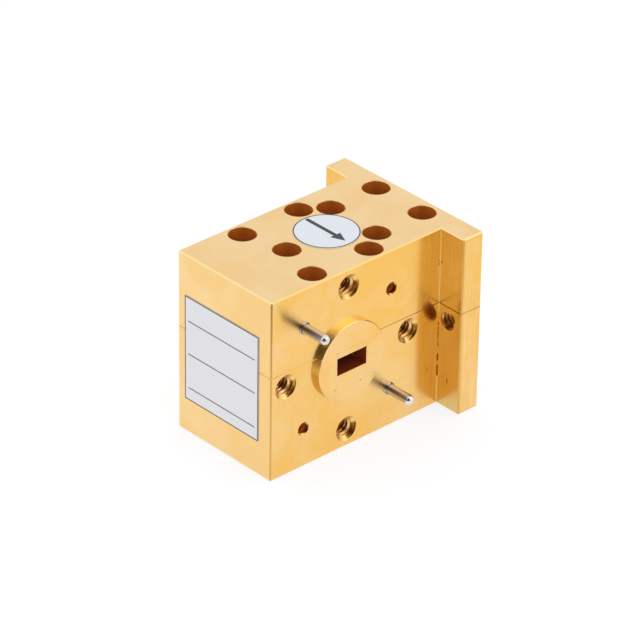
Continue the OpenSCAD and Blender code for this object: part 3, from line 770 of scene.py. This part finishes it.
def add_thread(form, centre, into, right, hole, run, settings):
    """Adds the ridge of one inside thread, which goes into the block from a hole's mouth."""
    wall, first = hole + settings.sink, settings.start
    steps = int((run - first) / settings.pitch * settings.steps)
    half_root, half_crest = settings.root_flat / 2, settings.crest_flat / 2
    outline = [
        (wall, -half_root), (settings.crest, -half_crest), (settings.crest, half_crest), (wall, half_root),
    ]
    start = [form.verts.new(centre + right * radius + into * (first + along)) for radius, along in outline]
    edges = [form.edges.new((start[i], start[(i + 1) % 4])) for i in range(4)]
    made = bmesh.ops.spin(
        form, geom=start + edges, cent=centre, axis=into, dvec=into * (settings.pitch / settings.steps),
        angle=math.tau * steps / settings.steps, steps=steps, use_merge=False, use_duplicate=False,
    )
    last = [part for part in made["geom_last"] if isinstance(part, bmesh.types.BMEdge)]
    bmesh.ops.edgeloop_fill(form, edges=edges)
    bmesh.ops.edgeloop_fill(form, edges=last)


def keep_clear_of_mouth(form, centre, into, hole, settings):
    """Cuts the thread back to the cone of the hole's mouth, and hides what lies before the cone's end."""
    slope = (settings.mouth - hole) / settings.mouth_depth
    for vert in form.verts:
        away = vert.co - centre
        depth = max(away.dot(into), 2 * settings.sink)
        across = away - into * away.dot(into)
        least = settings.mouth - slope * depth
        if depth < settings.mouth_depth:
            least += settings.sink
        if 0 < across.length < least:
            vert.co = centre + into * depth + across.normalized() * least


class CIRCULATOR_OT_plate_block(bpy.types.Operator):
    """Gold plates the two halves of the block and the magnet covers"""

    bl_idname = "circulator.plate_block"
    bl_label = "Plate the block"

    def execute(self, context):
        gold = plated_gold(context.scene.circulator_plating)
        dress(gold, "lower_housing", "upper_housing", "lower_magnet_cover", "upper_magnet_cover")
        return {"FINISHED"}


class CIRCULATOR_OT_cut_threads(bpy.types.Operator):
    """Adds the threads in the twelve flange holes"""

    bl_idname = "circulator.cut_threads"
    bl_label = "Cut the threads"

    def execute(self, context):
        settings = context.scene.circulator_threads
        gold = thread_gold(context.scene.circulator_plating)
        wing = context.scene.circulator_plating.wing
        for port in PORTS:
            centre, right, out = port_places(port)
            dims = MOUNTS[f"{port}_flange"]["dims"]
            reach, hole = dims["pcd_mm"] / 2 * MM, dims["hole_r_mm"] * MM
            whole = bmesh.new()
            for turn in range(4):
                side = Matrix.Rotation(turn * math.pi / 2, 3, out) @ right
                run = wing if port == "rear" and turn % 2 == 0 else settings.depth
                ridge = bmesh.new()
                add_thread(ridge, centre + side * reach, -out, right, hole, run, settings)
                keep_clear_of_mouth(ridge, centre + side * reach, -out, hole, settings)
                bmesh.ops.recalc_face_normals(ridge, faces=ridge.faces)
                part = bpy.data.meshes.new("ridge")
                ridge.to_mesh(part)
                ridge.free()
                whole.from_mesh(part)
                bpy.data.meshes.remove(part)
            piece = add_piece(f"{port}_threads", whole, gold)
            piece.data.shade_smooth()
            piece.data.set_sharp_from_angle(angle=math.radians(SHARP))
        return {"FINISHED"}


class CIRCULATOR_OT_polish_steel(bpy.types.Operator):
    """Finishes the guide pins, the dowels and the closing screws"""

    bl_idname = "circulator.polish_steel"
    bl_label = "Polish the steel"

    def execute(self, context):
        settings = context.scene.circulator_steel
        ground = {
            port: polished_steel(settings, f"{port}_pin_steel_ground", out, centre.dot(out))
            for port in PORTS for centre, _, out in [port_places(port)]
        }
        upright = polished_steel(settings, "dowel_steel_ground", UP, 0)
        for node in frame["nodes"]:
            if "_pin_" in node:
                dress(ground[node.split("_")[0]], node)
            if node.endswith("_dowel"):
                dress(upright, node)
        dress(screw_steel(settings), "closing_screws")
        return {"FINISHED"}


class CIRCULATOR_OT_finish_core(bpy.types.Operator):
    """Finishes the ferrites, the spacer and the magnets inside the block"""

    bl_idname = "circulator.finish_core"
    bl_label = "Finish the core"

    def execute(self, context):
        settings = context.scene.circulator_core
        ferrite = ground_ceramic("ferrite_ground", settings.ferrite, roughness=0.35, grain=0.2)
        alumina = ground_ceramic("alumina_ground", settings.alumina, roughness=0.45, grain=0.3)
        dress(ferrite, "lower_ferrite", "upper_ferrite")
        dress(alumina, "ferrite_spacer")
        dress(cast_magnet(settings), "lower_magnet", "upper_magnet")
        return {"FINISHED"}


class CIRCULATOR_OT_print_flow_label(bpy.types.Operator):
    """Finishes the round label, with its rim and its arrow"""

    bl_idname = "circulator.print_flow_label"
    bl_label = "Print the round label"

    def execute(self, context):
        settings = context.scene.circulator_labels
        dress(satin_film("round_label_film_satin", settings.disc), "flow_label")
        ink = printed_ink(settings)
        low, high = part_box("flow_label")
        middle = Vector(((low.x + high.x) / 2, (low.y + high.y) / 2, high.z))
        rise = UP * settings.print_height
        rim = bmesh.new()
        outer = (high.x - low.x) / 2
        for radius in (outer, outer - settings.border):
            bmesh.ops.create_circle(
                rim, segments=RIM_SEGMENTS, radius=radius, matrix=Matrix.Translation(middle),
            )
        bmesh.ops.bridge_loops(rim, edges=rim.edges)
        raise_faces(rim, rim.faces[:], rise)
        add_piece("flow_label_rim", rim, ink)
        arrow = bmesh.new()
        half = settings.shaft_width / 2
        outline = [
            (-settings.shaft_tail, -half), (settings.head_foot, -half),
            (settings.head_foot, -settings.head_width / 2), (settings.head_tip, 0),
            (settings.head_foot, settings.head_width / 2), (settings.head_foot, half),
            (-settings.shaft_tail, half),
        ]
        sheet = add_sheet(arrow, [middle + Vector((x, y + settings.arrow_set, 0)) for x, y in outline])
        raise_faces(arrow, [sheet], rise)
        add_piece("flow_label_arrow", arrow, ink)
        return {"FINISHED"}


class CIRCULATOR_OT_print_data_label(bpy.types.Operator):
    """Finishes the label on the front, with its border and plain ruled lines"""

    bl_idname = "circulator.print_data_label"
    bl_label = "Print the front label"

    def execute(self, context):
        settings = context.scene.circulator_labels
        dress(satin_film("front_label_film_satin", settings.film), "data_label")
        ink = bpy.data.materials["label_ink_printed"]
        low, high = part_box("data_label")
        step = Vector((0, -settings.print_height, 0))
        border = bmesh.new()
        corners = [(low.x, low.z), (high.x, low.z), (high.x, high.z), (low.x, high.z)]
        sheet = add_sheet(border, [(x, low.y, z) for x, z in corners])
        border.normal_update()
        bmesh.ops.inset_region(
            border, faces=[sheet], thickness=settings.border, use_boundary=True, use_even_offset=True,
        )
        bmesh.ops.delete(border, geom=[sheet], context="FACES_ONLY")
        raise_faces(border, border.faces[:], step)
        add_piece("data_label_border", border, ink)
        rules = bmesh.new()
        for drop in RULE_DROPS:
            left, right = low.x + settings.rule_inset, high.x - settings.rule_inset
            foot, head = high.z - drop, high.z - drop + settings.rule
            corners = [(left, foot), (right, foot), (right, head), (left, head)]
            raise_faces(rules, [add_sheet(rules, [(x, low.y, z) for x, z in corners])], step)
        add_piece("data_label_rules", rules, ink)
        return {"FINISHED"}


def toward(azimuth, elevation):
    """The direction of an azimuth, from the front to the right, and an elevation."""
    flat = math.cos(elevation)
    return Vector((math.sin(azimuth) * flat, -math.cos(azimuth) * flat, math.sin(elevation)))


def light_world(settings):
    """A white tent all round with two softboxes in it, and one dark side where the camera stands."""
    world = bpy.data.worlds.new("studio_tent")
    bpy.context.scene.world = world
    world.use_nodes = True
    tree = world.node_tree
    direction = add_node(tree, "TexCoord").outputs["Generated"]
    paths = add_node(tree, "LightPath").outputs
    patches = (
        (settings.high_azimuth, settings.high_elevation, settings.high_spread, settings.high_lamp),
        (settings.left_azimuth, settings.left_elevation, settings.left_spread, settings.left_lamp),
        (settings.dark_azimuth, settings.dark_elevation, settings.dark_spread, settings.dark),
        (settings.azimuth, settings.elevation, settings.core_spread, settings.core),
    )
    tent = settings.sky
    for azimuth, elevation, spread, tone in patches:
        ahead = toward(azimuth, elevation)
        near = add_node(tree, "VectorMath", {0: direction, 1: ahead}, operation="DOT_PRODUCT")
        begin, full = (math.cos(spread * (1 + way * PATCH_EDGE)) for way in (1, -1))
        patch = add_node(
            tree, "MapRange", {0: near.outputs["Value"], 1: begin, 2: full}, interpolation_type="SMOOTHSTEP",
        )
        tent = lay_over(tree, tent, (patch, paths["Is Glossy Ray"], tone))
    seen = lay_over(tree, tent, (paths["Is Camera Ray"], WHITE))
    feed(tree, tree.nodes["Background"], {"Color": seen})
    world.cycles.sampling_method = "NONE"


def lay_floor(settings):
    """A wide pale floor that keeps the block's soft shadow and reads as white away from it."""
    form = bmesh.new()
    foot = Vector((0, 0, BLOCK_LOW.z - FLOOR_GAP))
    bmesh.ops.create_grid(
        form, x_segments=1, y_segments=1, size=settings.floor_reach, matrix=Matrix.Translation(foot),
    )
    material, tree, shader, place = start_material("studio_paper_matt", roughness=1)
    floor = make_object("floor", form, material)
    # The paper is painted dark below the camera, seen only in reflections, standing in for the dark side of the
    # studio
    ahead = toward(settings.dark_azimuth, 0)
    away = add_node(tree, "VectorMath", {0: place, 1: ahead}, operation="DOT_PRODUCT")
    near, far = PER_MM * settings.paper_near, PER_MM * settings.paper_far
    dark = add_node(
        tree, "MapRange", {0: away.outputs["Value"], 1: near, 2: far}, interpolation_type="SMOOTHSTEP",
    )
    mirrored = add_node(tree, "LightPath").outputs["Is Glossy Ray"]
    feed(tree, shader, {
        "Base Color": settings.floor, "Specular IOR Level": 0, "Emission Strength": settings.glow,
        "Emission Color": lay_over(tree, WHITE, (dark, mirrored, settings.dark)),
    })


def place_camera(settings):
    """The camera at the photograph's viewing angle."""
    data = bpy.data.cameras.new("camera")
    data.lens = settings.lens
    data.clip_start, data.clip_end = CLIP
    camera = bpy.data.objects.new("camera", data)
    bpy.context.scene.collection.objects.link(camera)
    back = toward(settings.azimuth, settings.elevation)
    turn = Matrix.Rotation(settings.azimuth, 4, "Z")
    tilt = Matrix.Rotation(math.pi / 2 - settings.elevation, 4, "X")
    place = Matrix.Translation(Vector(settings.aim) + back * settings.distance)
    camera.matrix_world = place @ turn @ tilt @ Matrix.Rotation(settings.roll, 4, "Z")
    bpy.context.scene.camera = camera


class CIRCULATOR_OT_set_stage(bpy.types.Operator):
    """Sets up the floor, the light and the camera"""

    bl_idname = "circulator.set_stage"
    bl_label = "Set the stage"

    def execute(self, context):
        settings = context.scene.circulator_stage
        lay_floor(settings)
        light_world(settings)
        place_camera(settings)
        context.scene.view_settings.view_transform = "Standard"
        return {"FINISHED"}


OPERATORS = (
    CIRCULATOR_OT_plate_block,
    CIRCULATOR_OT_cut_threads,
    CIRCULATOR_OT_polish_steel,
    CIRCULATOR_OT_finish_core,
    CIRCULATOR_OT_print_flow_label,
    CIRCULATOR_OT_print_data_label,
    CIRCULATOR_OT_set_stage,
)


class CIRCULATOR_PT_looks(bpy.types.Panel):
    """Lists the steps that dress the circulator"""

    bl_label = "Circulator"
    bl_idname = "CIRCULATOR_PT_looks"
    bl_space_type = "VIEW_3D"
    bl_region_type = "UI"
    bl_category = "Circulator"

    def draw(self, context):
        for operator in OPERATORS:
            self.layout.operator(operator.bl_idname)


GROUPS = {
    "circulator_plating": PlatingSettings,
    "circulator_threads": ThreadSettings,
    "circulator_steel": SteelSettings,
    "circulator_labels": LabelSettings,
    "circulator_core": CoreSettings,
    "circulator_stage": StageSettings,
}


def register():
    for kind in (*GROUPS.values(), *OPERATORS, CIRCULATOR_PT_looks):
        bpy.utils.register_class(kind)
    for name, group in GROUPS.items():
        setattr(bpy.types.Scene, name, PointerProperty(type=group))


def unregister():
    for name in GROUPS:
        delattr(bpy.types.Scene, name)
    for kind in (CIRCULATOR_PT_looks, *reversed(OPERATORS), *GROUPS.values()):
        bpy.utils.unregister_class(kind)


def write_sizes():
    """Updates the view layer."""
    bpy.context.view_layer.update()


def main():
    register()
    bpy.ops.circulator.plate_block()
    bpy.ops.circulator.cut_threads()
    bpy.ops.circulator.polish_steel()
    bpy.ops.circulator.finish_core()
    bpy.ops.circulator.print_flow_label()
    bpy.ops.circulator.print_data_label()
    bpy.ops.circulator.set_stage()
    write_sizes()


if __name__ == "__main__":
    main()
